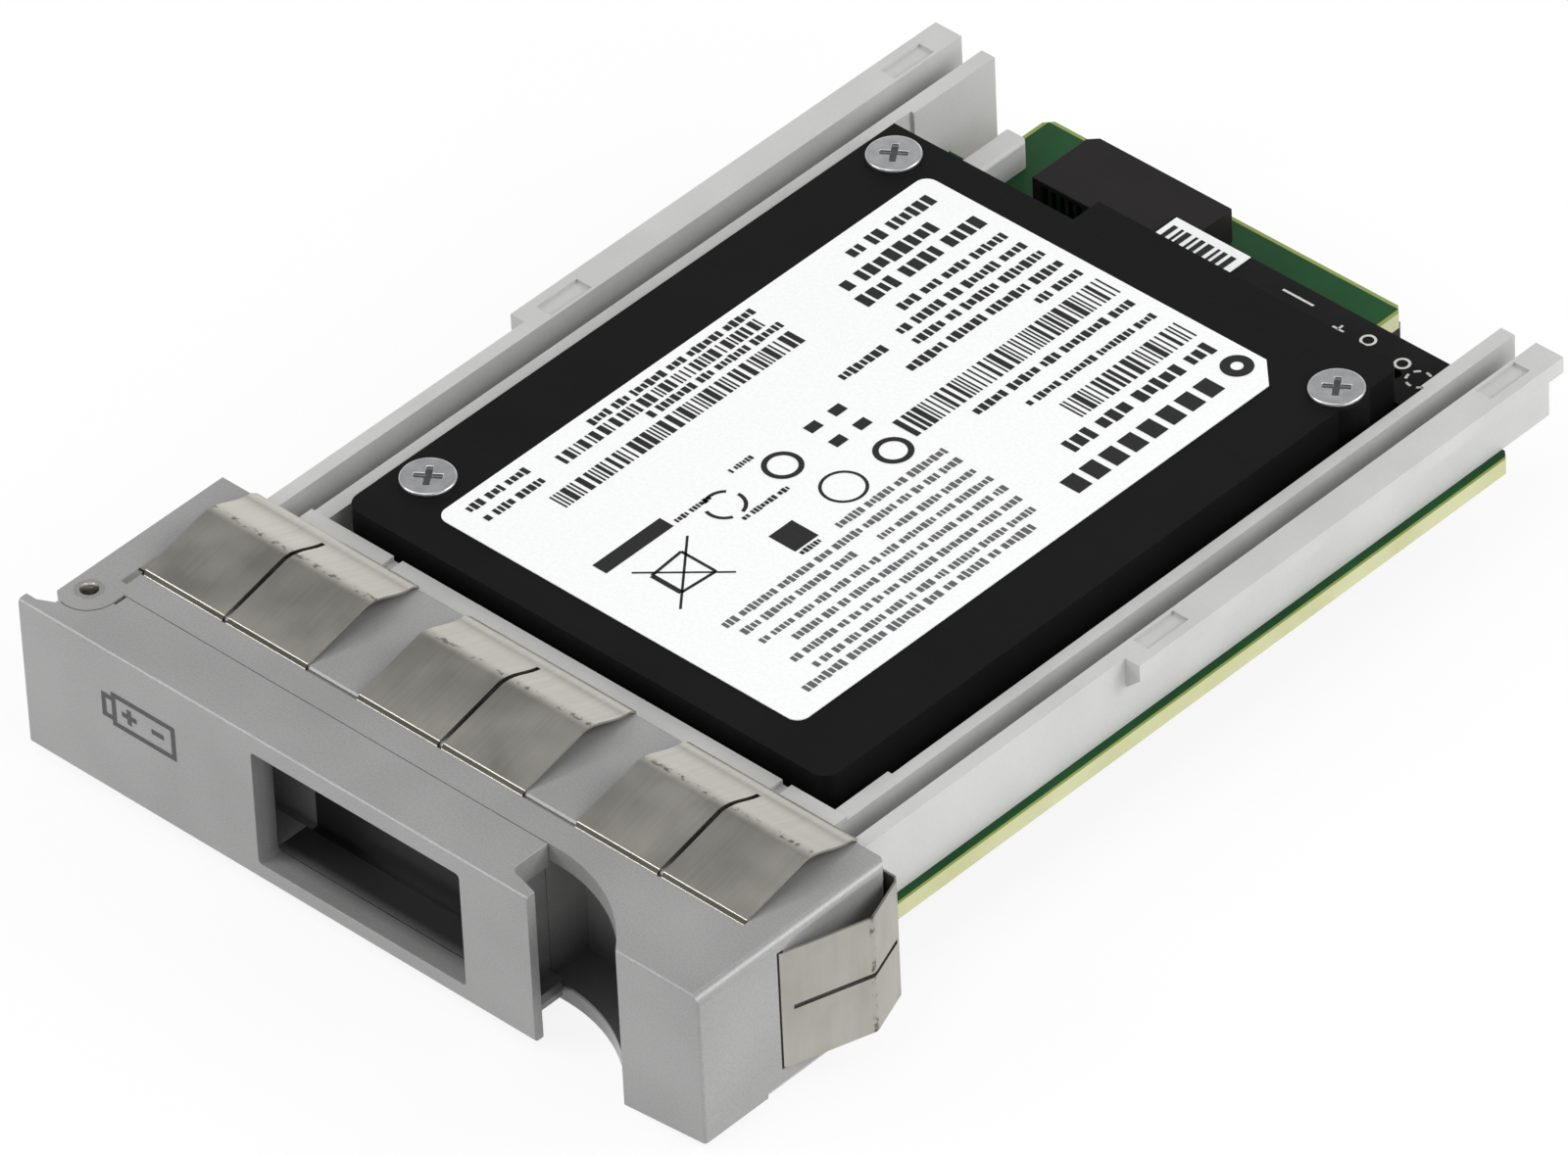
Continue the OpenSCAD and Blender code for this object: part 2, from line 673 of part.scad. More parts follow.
module bezel_screws() {
    color(zinc) for (p = bezel_screw_at) translate([p.x, p.y, 2.6]) mirror([0, 0, 1])
        screw(4.6, 1.2, 2, 7.5, $fn = 20);
}

bezel_body();
ejector_lever();
hinge_pin();
top_spring_strip();
side_spring_clip();
shield_tab();
tray();
carrier_board();
board_chips();
board_passives();
battery_cover();
battery_label();
lithium_cell();
cell_pad();
cell_tabs();
battery_base();
battery_board();
code_label();
board_connector();
board_contacts();
backplane_plug();
backplane_contacts();
battery_screws();
battery_inserts();
tray_screws();
bezel_screws();
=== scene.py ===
# A backup-battery module for a disk bay: paint, plating, print and studio for the CAD pieces
import math
import random
import bmesh
import bpy
from mathutils import Matrix, Vector


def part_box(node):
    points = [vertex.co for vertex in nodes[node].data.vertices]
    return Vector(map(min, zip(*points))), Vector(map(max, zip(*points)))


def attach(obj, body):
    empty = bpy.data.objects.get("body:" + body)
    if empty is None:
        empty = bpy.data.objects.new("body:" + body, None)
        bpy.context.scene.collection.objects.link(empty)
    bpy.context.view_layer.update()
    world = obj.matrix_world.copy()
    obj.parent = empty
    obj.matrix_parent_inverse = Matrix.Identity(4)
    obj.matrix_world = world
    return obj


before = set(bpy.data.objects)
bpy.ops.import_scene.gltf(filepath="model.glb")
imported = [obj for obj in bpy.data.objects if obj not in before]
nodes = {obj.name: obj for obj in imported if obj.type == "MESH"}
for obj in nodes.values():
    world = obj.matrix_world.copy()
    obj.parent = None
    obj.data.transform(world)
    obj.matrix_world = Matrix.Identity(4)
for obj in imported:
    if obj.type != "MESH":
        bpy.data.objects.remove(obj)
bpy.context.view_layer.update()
mm = 0.001
print("frame loaded:", len(nodes), "nodes")


# sRGB hex to the linear colour the shaders want
def colour(hexCode):
    parts = [int(hexCode[i:i + 2], 16) / 255 for i in (1, 3, 5)]
    return [p / 12.92 if p <= 0.04045 else ((p + 0.055) / 1.055) ** 2.4 for p in parts] + [1]


# Adds a node with its own fields, its inputs (numbers, colours or sockets to link) and a ramp's stops
def addNode(tree, kind, inputs=None, stops=None, **settings):
    node = tree.nodes.new(kind)
    for field, value in settings.items():
        setattr(node, field, value)
    for name, value in (inputs or {}).items():
        if isinstance(value, bpy.types.NodeSocket):
            tree.links.new(value, node.inputs[name])
        else:
            node.inputs[name].default_value = value
    for i, (place, value) in enumerate(stops or []):
        element = node.color_ramp.elements[i] if i < 2 else node.color_ramp.elements.new(place)
        element.position = place
        element.color = colour(value) if isinstance(value, str) else (value, value, value, 1)
    return node


# A new material with its shader, and a vector that counts the piece's own space in millimetres
def startMaterial(name, shader):
    material = bpy.data.materials.new(name)
    material.use_nodes = True
    tree = material.node_tree
    tree.nodes.clear()
    surface = addNode(tree, "ShaderNodeBsdfPrincipled", shader)
    addNode(tree, "ShaderNodeOutputMaterial", {"Surface": surface.outputs[0]})
    own = addNode(tree, "ShaderNodeTexCoord").outputs["Object"]
    where = addNode(tree, "ShaderNodeMapping", {"Vector": own, "Scale": (1 / mm, 1 / mm, 1 / mm)}).outputs[0]
    return material, tree, surface, where


# Silver lacquer sprayed on moulded ABS: an even satin grey with a fine flake and a faint orange peel. Painted shade
# darkens it deep in the window, where it also stands for the bare black plastic, and on the finger recess floor.
# Flake is drawn 0.2 mm across, coarser than the real one, peel is 0.9 mm and the tone drifts over 14 mm.
# The bare tone is painted deep in the window and on the finger recess floor: painted shade, and in the window also the
# bare black plastic
lacquer = {"dark": "#8e8e8d", "light": "#9c9c9b", "bare": "#333334", "flake": 0.2, "peel": 0.9, "drift": 14,
           "roughness": 0.33, "metallic": 0.1, "windowMiddle": (-0.8, 8.15), "windowHalf": (12, 7.1),
           "windowDepth": (1.2, 3.4), "recessMiddle": 21.4, "recessHalf": 6.9, "recessDepth": (0.4, 3),
           "recessHeight": (8.5, 2.5), "recessShade": 0.75}


def silverLacquer(s):
    look = {"Metallic": s["metallic"], "IOR": 1.5}
    material, tree, surface, where = startMaterial("silver_lacquer_on_abs", look)
    peel = addNode(tree, "ShaderNodeTexNoise", {"Vector": where, "Scale": 1 / s["peel"], "Detail": 1})
    drift = addNode(tree, "ShaderNodeTexNoise", {"Vector": where, "Scale": 1 / s["drift"], "Detail": 2})
    flake = addNode(tree, "ShaderNodeTexNoise", {"Vector": where, "Scale": 1 / s["flake"], "Detail": 0})
    tone = addNode(tree, "ShaderNodeMix", {0: 0.65, 2: flake.outputs[0], 3: drift.outputs[0]})
    grey = addNode(tree, "ShaderNodeValToRGB", {0: tone.outputs[0]}, [(0.35, s["dark"]), (0.65, s["light"])])
    axes = addNode(tree, "ShaderNodeSeparateXYZ", {0: where})
    # Painted shade deep in the window, where the bare black plastic also shows
    across = addNode(tree, "ShaderNodeMath", {0: axes.outputs["X"], 1: s["windowMiddle"][0], 2: s["windowHalf"][0]},
                     operation="COMPARE")
    upright = addNode(tree, "ShaderNodeMath", {0: axes.outputs["Z"], 1: s["windowMiddle"][1], 2: s["windowHalf"][1]},
                      operation="COMPARE")
    deep = addNode(tree, "ShaderNodeMapRange", {"Value": axes.outputs["Y"], "From Min": s["windowDepth"][0],
                                                "From Max": s["windowDepth"][1]})
    inside = addNode(tree, "ShaderNodeMath", {0: across.outputs[0], 1: upright.outputs[0]}, operation="MULTIPLY")
    window = addNode(tree, "ShaderNodeMath", {0: inside.outputs[0], 1: deep.outputs[0]}, operation="MULTIPLY")
    # Painted shade on the finger recess floor: darker towards the back and towards the bottom
    scoop = addNode(tree, "ShaderNodeMath", {0: axes.outputs["X"], 1: s["recessMiddle"], 2: s["recessHalf"]},
                    operation="COMPARE")
    back = addNode(tree, "ShaderNodeMapRange", {"Value": axes.outputs["Y"], "From Min": s["recessDepth"][0],
                                                "From Max": s["recessDepth"][1], "To Max": s["recessShade"]})
    low = addNode(tree, "ShaderNodeMapRange", {"Value": axes.outputs["Z"], "From Min": s["recessHeight"][0],
                                               "From Max": s["recessHeight"][1]})
    above = addNode(tree, "ShaderNodeMath", {0: axes.outputs["Z"], 1: 1.5}, operation="GREATER_THAN")
    floor = addNode(tree, "ShaderNodeMath", {0: low.outputs[0], 1: above.outputs[0]}, operation="MULTIPLY")
    recessShadeMask = addNode(tree, "ShaderNodeMath", {0: back.outputs[0], 1: floor.outputs[0]}, operation="MULTIPLY")
    recessShadeMask = addNode(tree, "ShaderNodeMath", {0: recessShadeMask.outputs[0], 1: scoop.outputs[0]}, operation="MULTIPLY")
    # Painted shade: the window's inside and the recess floor take the dark bare tone
    bareAndShade = addNode(tree, "ShaderNodeMath", {0: window.outputs[0], 1: recessShadeMask.outputs[0]}, operation="MAXIMUM")
    face = addNode(tree, "ShaderNodeMix", {0: bareAndShade.outputs[0], 6: grey.outputs[0], 7: colour(s["bare"])},
                   data_type="RGBA")
    rough = addNode(tree, "ShaderNodeMapRange", {"Value": drift.outputs[0], "To Min": s["roughness"] - 0.05,
                                                 "To Max": s["roughness"] + 0.05})
    relief = addNode(tree, "ShaderNodeBump", {"Height": peel.outputs[0], "Distance": 0.006 * mm})
    tree.links.new(face.outputs[2], surface.inputs["Base Color"])
    tree.links.new(rough.outputs[0], surface.inputs["Roughness"])
    tree.links.new(relief.outputs[0], surface.inputs["Normal"])
    return material


# Rolled stainless strip, formed and tumbled: soft satin reflections, faint rolling streaks along the strip and
# dark rubbed dashes on the crests that touch the bay; the bent front lips are darkened as painted shade. Streaks are
# drawn 0.3 mm wide, coarser than the real ones.
stainless = {"dark": "#a3a098", "light": "#b4b1a9", "scuff": "#6f6a62", "streak": 0.3, "smudge": 6, "roughness": 0.36,
             "crest": 17.2, "crestHalf": 0.28, "dash": 0.7, "lip": 9.1, "lipHalf": 0.14, "lipShade": "#34322e"}


def rolledStainless(s):
    material, tree, surface, where = startMaterial("rolled_stainless_strip", {"Metallic": 1.0})
    along = addNode(tree, "ShaderNodeMapping", {"Vector": where, "Scale": (1, 0.04, 0.04)})
    streak = addNode(tree, "ShaderNodeTexNoise", {"Vector": along.outputs[0], "Scale": 1 / s["streak"], "Detail": 2})
    smudge = addNode(tree, "ShaderNodeTexNoise", {"Vector": where, "Scale": 1 / s["smudge"], "Detail": 3})
    tone = addNode(tree, "ShaderNodeMix", {0: 0.7, 2: streak.outputs[0], 3: smudge.outputs[0]})
    satin = addNode(tree, "ShaderNodeValToRGB", {0: tone.outputs[0]}, [(0.35, s["dark"]), (0.65, s["light"])])
    dashes = addNode(tree, "ShaderNodeTexNoise", {"Vector": where, "Scale": 1 / s["dash"], "Detail": 2})
    worn = addNode(tree, "ShaderNodeMapRange", {"Value": dashes.outputs[0], "From Min": 0.52, "From Max": 0.64})
    axes = addNode(tree, "ShaderNodeSeparateXYZ", {0: where})
    crest = addNode(tree, "ShaderNodeMath", {0: axes.outputs["Y"], 1: s["crest"], 2: s["crestHalf"]},
                    operation="COMPARE")
    scuffed = addNode(tree, "ShaderNodeMath", {0: worn.outputs[0], 1: crest.outputs[0]}, operation="MULTIPLY")
    # Painted shade: a narrow band along the bent front lips is coloured dark
    front = addNode(tree, "ShaderNodeMath", {0: axes.outputs["Y"], 1: s["lip"], 2: s["lipHalf"]},
                    operation="COMPARE")
    plain = addNode(tree, "ShaderNodeMix", {0: front.outputs[0], 6: satin.outputs[0], 7: colour(s["lipShade"])},
                    data_type="RGBA")
    face = addNode(tree, "ShaderNodeMix", {0: scuffed.outputs[0], 6: plain.outputs[2], 7: colour(s["scuff"])},
                   data_type="RGBA")
    rough = addNode(tree, "ShaderNodeMapRange", {"Value": smudge.outputs[0], "From Min": 0.3, "From Max": 0.7,
                                                 "To Min": s["roughness"] - 0.04, "To Max": s["roughness"] + 0.06})
    tree.links.new(face.outputs[2], surface.inputs["Base Color"])
    tree.links.new(rough.outputs[0], surface.inputs["Roughness"])
    return material


# Moulded plastics and epoxy: an even colour with the fine texture of a spark-eroded mould, grain in mm
greyAbs = {"dark": "#b8b8b6", "light": "#c1c1bf", "roughness": 0.5, "grain": 0.4, "depth": 0.008, "gloss": 0.5}
blackAbs = {"dark": "#0e0e0f", "light": "#131314", "roughness": 0.52, "grain": 0.35, "depth": 0.01, "gloss": 0.07}
blackNylon = {"dark": "#171414", "light": "#1e1b1b", "roughness": 0.45, "grain": 0.3, "depth": 0.008, "gloss": 0.15}
blackEpoxy = {"dark": "#161616", "light": "#202021", "roughness": 0.55, "grain": 0.2, "depth": 0.008, "gloss": 0.4}
firedCeramic = {"dark": "#6a5a44", "light": "#8a7759", "roughness": 0.4, "grain": 0.6, "depth": 0.008, "gloss": 0.5}
foamRubber = {"dark": "#2c2c2c", "light": "#3a3a3a", "roughness": 0.9, "grain": 0.5, "depth": 0.05, "gloss": 0.2}


def mouldedPlastic(name, s):
    look = {"IOR": 1.5, "Specular IOR Level": s["gloss"]}
    material, tree, surface, where = startMaterial(name, look)
    grain = addNode(tree, "ShaderNodeTexNoise", {"Vector": where, "Scale": 1 / s["grain"], "Detail": 2})
    drift = addNode(tree, "ShaderNodeTexNoise", {"Vector": where, "Scale": 1 / 9, "Detail": 3})
    tone = addNode(tree, "ShaderNodeMix", {0: 0.75, 2: grain.outputs[0], 3: drift.outputs[0]})
    face = addNode(tree, "ShaderNodeValToRGB", {0: tone.outputs[0]}, [(0.35, s["dark"]), (0.65, s["light"])])
    rough = addNode(tree, "ShaderNodeMapRange", {"Value": drift.outputs[0], "From Min": 0.3, "From Max": 0.7,
                                                 "To Min": s["roughness"] - 0.04, "To Max": s["roughness"] + 0.06})
    relief = addNode(tree, "ShaderNodeBump", {"Height": grain.outputs[0], "Distance": s["depth"] * mm})
    tree.links.new(face.outputs[0], surface.inputs["Base Color"])
    tree.links.new(rough.outputs[0], surface.inputs["Roughness"])
    tree.links.new(relief.outputs[0], surface.inputs["Normal"])
    return material


# Glass-fibre laminate under solder mask: deep even green that stops short of the routed edge, where the
# straw-coloured laminate shows: past rimLine at the long sides, past rimRear at the rear, and outside the tongue's
# middle and half width.
greenMask = {"mask": "#123f20", "maskLight": "#184b27", "rim": "#8c9a52", "edge": "#b9b98e", "edgeLight": "#c3c39c",
             "rimLine": 34.4, "rimRear": 108.8, "tongue": (102.5, -4.95, 19.75), "gloss": 0.15}
blackMask = {"mask": "#141415", "maskLight": "#1a1a1b", "rim": "#17150f", "edge": "#15110c", "edgeLight": "#221c14",
             "rimLine": 34.4, "rimRear": 108.8, "tongue": (104, 0, 40), "gloss": 0.07}


def maskedBoard(name, s):
    look = {"IOR": 1.5, "Specular IOR Level": s["gloss"], "Roughness": 0.4}
    material, tree, surface, where = startMaterial(name, look)
    drift = addNode(tree, "ShaderNodeTexNoise", {"Vector": where, "Scale": 1 / 6, "Detail": 4})
    face = addNode(tree, "ShaderNodeValToRGB", {0: drift.outputs[0]}, [(0.35, s["mask"]), (0.65, s["maskLight"])])
    axes = addNode(tree, "ShaderNodeSeparateXYZ", {0: where})
    aside = addNode(tree, "ShaderNodeMath", {0: axes.outputs["X"]}, operation="ABSOLUTE")
    wide = addNode(tree, "ShaderNodeMath", {0: aside.outputs[0], 1: s["rimLine"]}, operation="GREATER_THAN")
    rear = addNode(tree, "ShaderNodeMath", {0: axes.outputs["Y"], 1: s["rimRear"]}, operation="GREATER_THAN")
    start, middle, half = s["tongue"]
    tongue = addNode(tree, "ShaderNodeMath", {0: axes.outputs["Y"], 1: start}, operation="GREATER_THAN")
    within = addNode(tree, "ShaderNodeMath", {0: axes.outputs["X"], 1: middle, 2: half}, operation="COMPARE")
    beside = addNode(tree, "ShaderNodeMath", {0: tongue.outputs[0], 1: within.outputs[0]}, operation="GREATER_THAN")
    rim = addNode(tree, "ShaderNodeMath", {0: wide.outputs[0], 1: rear.outputs[0]}, operation="MAXIMUM")
    bare = addNode(tree, "ShaderNodeMath", {0: rim.outputs[0], 1: beside.outputs[0]}, operation="MAXIMUM")
    top = addNode(tree, "ShaderNodeMix", {0: bare.outputs[0], 6: face.outputs[0], 7: colour(s["rim"])},
                  data_type="RGBA")
    edge = addNode(tree, "ShaderNodeValToRGB", {0: drift.outputs[0]}, [(0.35, s["edge"]), (0.65, s["edgeLight"])])
    facing = addNode(tree, "ShaderNodeSeparateXYZ", {0: addNode(tree, "ShaderNodeTexCoord").outputs["Normal"]})
    level = addNode(tree, "ShaderNodeMath", {0: facing.outputs["Z"]}, operation="ABSOLUTE")
    side = addNode(tree, "ShaderNodeMath", {0: level.outputs[0], 1: 0.5}, operation="LESS_THAN")
    whole = addNode(tree, "ShaderNodeMix", {0: side.outputs[0], 6: top.outputs[2], 7: edge.outputs[0]},
                    data_type="RGBA")
    tree.links.new(whole.outputs[2], surface.inputs["Base Color"])
    return material


# Plated, turned or laminated metals: bright, a little uneven where the plating pooled, patches 1 mm across
brightZinc = {"dark": "#c0c0c1", "light": "#d2d2d3", "roughness": 0.3}
goldFlash = {"dark": "#b58b3e", "light": "#d9b25c", "roughness": 0.25}
darkNickel = {"dark": "#4d4a47", "light": "#625f5b", "roughness": 0.35}
turnedBrass = {"dark": "#a98238", "light": "#caa355", "roughness": 0.3}
nickelStrip = {"dark": "#a5a39c", "light": "#c4c2bb", "roughness": 0.3}
pouchFoil = {"dark": "#b4b6b8", "light": "#cfd1d3", "roughness": 0.35}


def platedMetal(name, s):
    material, tree, surface, where = startMaterial(name, {"Metallic": 1.0})
    pooled = addNode(tree, "ShaderNodeTexNoise", {"Vector": where, "Scale": 1.0, "Detail": 3})
    face = addNode(tree, "ShaderNodeValToRGB", {0: pooled.outputs[0]}, [(0.35, s["dark"]), (0.65, s["light"])])
    rough = addNode(tree, "ShaderNodeMapRange", {"Value": pooled.outputs[0], "From Min": 0.3, "From Max": 0.7,
                                                 "To Min": s["roughness"], "To Max": s["roughness"] + 0.08})
    tree.links.new(face.outputs[0], surface.inputs["Base Color"])
    tree.links.new(rough.outputs[0], surface.inputs["Roughness"])
    return material


# Bright drawn steel rivet whose drilled bore, round the axis given in mm, is coloured near black as painted shade
rivetSteel = {"bright": "#dddbd6", "boreShade": "#0e0e0f", "axis": (-35.25, 4.66, 0), "boreRadius": 0.72, "roughness": 0.24}


def drilledRivet(s):
    look = {"Metallic": 1.0, "Roughness": s["roughness"]}
    material, tree, surface, where = startMaterial("drawn_rivet_steel", look)
    level = addNode(tree, "ShaderNodeVectorMath", {0: where, 1: (1, 1, 0)}, operation="MULTIPLY")
    away = addNode(tree, "ShaderNodeVectorMath", {0: level.outputs[0], 1: s["axis"]}, operation="DISTANCE")
    # Painted shade: inside boreRadius the rivet is coloured near black
    inside = addNode(tree, "ShaderNodeMath", {0: away.outputs["Value"], 1: s["boreRadius"]}, operation="LESS_THAN")
    face = addNode(tree, "ShaderNodeMix", {0: inside.outputs[0], 6: colour(s["bright"]), 7: colour(s["boreShade"])},
                   data_type="RGBA")
    tree.links.new(face.outputs[2], surface.inputs["Base Color"])
    return material


# Zinc-plated screw heads: bright satin, with the upward faces of the cross recess, below recessShadeTop mm, coloured
# grey as painted shade
zincHeads = {"dark": "#c8c8c9", "light": "#dadadb", "recess": "#6e6e70", "recessShadeTop": 16.72, "roughness": 0.32}


def recessedZinc(s):
    look = {"Metallic": 1.0, "Roughness": s["roughness"]}
    material, tree, surface, where = startMaterial("zinc_plated_heads", look)
    pooled = addNode(tree, "ShaderNodeTexNoise", {"Vector": where, "Scale": 1.0, "Detail": 3})
    bright = addNode(tree, "ShaderNodeValToRGB", {0: pooled.outputs[0]}, [(0.35, s["dark"]), (0.65, s["light"])])
    height = addNode(tree, "ShaderNodeSeparateXYZ", {0: where})
    facing = addNode(tree, "ShaderNodeSeparateXYZ", {0: addNode(tree, "ShaderNodeTexCoord").outputs["Normal"]})
    # Painted shade: faces that look up and lie below recessShadeTop are coloured grey
    below = addNode(tree, "ShaderNodeMath", {0: height.outputs["Z"], 1: s["recessShadeTop"]}, operation="LESS_THAN")
    upward = addNode(tree, "ShaderNodeMath", {0: facing.outputs["Z"], 1: 0.5}, operation="GREATER_THAN")
    deep = addNode(tree, "ShaderNodeMath", {0: below.outputs[0], 1: upward.outputs[0]}, operation="MULTIPLY")
    face = addNode(tree, "ShaderNodeMix", {0: deep.outputs[0], 6: bright.outputs[0], 7: colour(s["recess"])},
                   data_type="RGBA")
    tree.links.new(face.outputs[2], surface.inputs["Base Color"])
    return material


# Coated polyester film and the inks printed on it or on paint: flat colour with hardly any gloss, tooth 0.3 mm
labelFilm = {"dark": "#ebebeb", "light": "#f0f0f0"}
labelInk = {"dark": "#161617", "light": "#1e1e1f"}
fineInk = {"dark": "#555557", "light": "#606062"}
screenInk = {"dark": "#4a4a4b", "light": "#545455"}
boardInk = {"dark": "#c6c6c2", "light": "#d2d2ce"}


def printedFilm(name, s):
    look = {"IOR": 1.45, "Specular IOR Level": 0.35, "Roughness": 0.58}
    material, tree, surface, where = startMaterial(name, look)
    tooth = addNode(tree, "ShaderNodeTexNoise", {"Vector": where, "Scale": 1 / 0.3, "Detail": 2})
    face = addNode(tree, "ShaderNodeValToRGB", {0: tooth.outputs[0]}, [(0.35, s["dark"]), (0.65, s["light"])])
    tree.links.new(face.outputs[0], surface.inputs["Base Color"])
    return material


paint = silverLacquer(lacquer)
steel = rolledStainless(stainless)
trayPlastic = mouldedPlastic("grey_moulded_abs", greyAbs)
packPlastic = mouldedPlastic("black_moulded_abs", blackAbs)
connectorPlastic = mouldedPlastic("black_glass_filled_nylon", blackNylon)
zinc = platedMetal("bright_zinc_plate", brightZinc)
film = printedFilm("white_polyester_film", labelFilm)
print("materials made")

nodeMaterial = {
    "bezel_body": paint,
    "ejector_lever": paint,
    "hinge_pin": drilledRivet(rivetSteel),
    "top_spring_strip": steel,
    "side_spring_clip": steel,
    "shield_tab": steel,
    "tray": trayPlastic,
    "carrier_board": maskedBoard("green_masked_laminate", greenMask),
    "board_chips": mouldedPlastic("black_moulding_epoxy", blackEpoxy),
    "board_passives": mouldedPlastic("fired_ceramic", firedCeramic),
    "battery_cover": packPlastic,
    "battery_label": film,
    "lithium_cell": platedMetal("laminated_pouch_foil", pouchFoil),
    "cell_pad": mouldedPlastic("foam_rubber", foamRubber),
    "cell_tabs": platedMetal("nickel_strip", nickelStrip),
    "battery_base": packPlastic,
    "battery_board": maskedBoard("black_masked_laminate", blackMask),
    "code_label": film,
    "board_connector": connectorPlastic,
    "board_contacts": platedMetal("dark_nickel_plate", darkNickel),
    "backplane_plug": connectorPlastic,
    "backplane_contacts": platedMetal("gold_flash_on_copper", goldFlash),
    "battery_screws": recessedZinc(zincHeads),
    "battery_inserts": platedMetal("turned_brass", turnedBrass),
    "tray_screws": zinc,
    "bezel_screws": zinc}

# Width in mm of the moulded or tumbled edge of each piece
softEdge = {"bezel_body": 0.15, "ejector_lever": 0.15, "tray": 0.15, "battery_cover": 0.25, "board_connector": 0.1,
            "backplane_plug": 0.12, "battery_screws": 0.08, "lithium_cell": 0.4, "carrier_board": 0.05}


# Smooths bends and turned faces, and keeps the creases that are sharper than the given angle
def smoothBends(degrees):
    tree = bpy.data.node_groups.new("smooth bends", "GeometryNodeTree")
    tree.interface.new_socket("Geometry", in_out="INPUT", socket_type="NodeSocketGeometry")
    tree.interface.new_socket("Geometry", in_out="OUTPUT", socket_type="NodeSocketGeometry")
    came = addNode(tree, "NodeGroupInput")
    angle = addNode(tree, "GeometryNodeInputMeshEdgeAngle")
    crease = addNode(tree, "FunctionNodeCompare", {0: angle.outputs[0], 1: math.radians(degrees)},
                     operation="GREATER_THAN")
    faces = addNode(tree, "GeometryNodeSetShadeSmooth", {"Geometry": came.outputs[0], "Shade Smooth": True})
    edges = addNode(tree, "GeometryNodeSetShadeSmooth", {"Geometry": faces.outputs[0], "Shade Smooth": False,
                                                         "Selection": crease.outputs[0]}, domain="EDGE")
    addNode(tree, "NodeGroupOutput", {0: edges.outputs[0]})
    return tree


bends = smoothBends(29)
for name, material in nodeMaterial.items():
    piece = nodes[name]
    piece.data.materials.clear()
    piece.data.materials.append(material)
    weld = piece.modifiers.new("weld", "WELD")
    weld.merge_threshold = 0.001 * mm
    if name in softEdge:
        flat = piece.modifiers.new("flatten", "DECIMATE")
        flat.decimate_type = "DISSOLVE"
        flat.angle_limit = math.radians(0.5)
    piece.modifiers.new("smooth bends", "NODES").node_group = bends
    if name in softEdge:
        soft = piece.modifiers.new("soft edges", "BEVEL")
        soft.width = softEdge[name] * mm
        soft.segments = 2
        soft.limit_method = "ANGLE"
        soft.angle_limit = math.radians(38)
        soft.harden_normals = True
print("nodes dressed")


# One thin mesh of flat outlines: each outline is a list of points in mm, which place puts on the piece
def printShapes(name, outlines, place, material, body="module"):
    mesh = bmesh.new()
    for outline in outlines:
        corners = [mesh.verts.new(Vector(place(x, y)) * mm) for x, y in outline]
        mesh.faces.new(corners)
    data = bpy.data.meshes.new(name)
    mesh.to_mesh(data)
    mesh.free()
    piece = bpy.data.objects.new(name, data)
    bpy.context.collection.objects.link(piece)
    data.materials.append(material)
    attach(piece, body)
    return piece


# A block given by its middle and its size
def block(x, y, width, height):
    left, low = x - width / 2, y - height / 2
    return [(left, low), (left + width, low), (left + width, low + height), (left, low + height)]


# A straight stroke from one point to another
def stroke(start, end, width):
    across = (Vector(end) - Vector(start)).normalized().orthogonal() * width / 2
    return [tuple(Vector(p) + side) for p, side in ((start, -across), (end, -across), (end, across), (start, across))]


# A ring, or the part of it between two angles in degrees, as a strip of four-cornered pieces
def ring(x, y, outer, inner, start=0, end=360):
    steps = max(2, round((end - start) / 12))
    turns = [math.radians(start + (end - start) * i / steps) for i in range(steps + 1)]
    return [[(x + r * math.cos(t), y + r * math.sin(t)) for r, t in ((inner, a), (outer, a), (outer, b), (inner, b))]
            for a, b in zip(turns, turns[1:])]


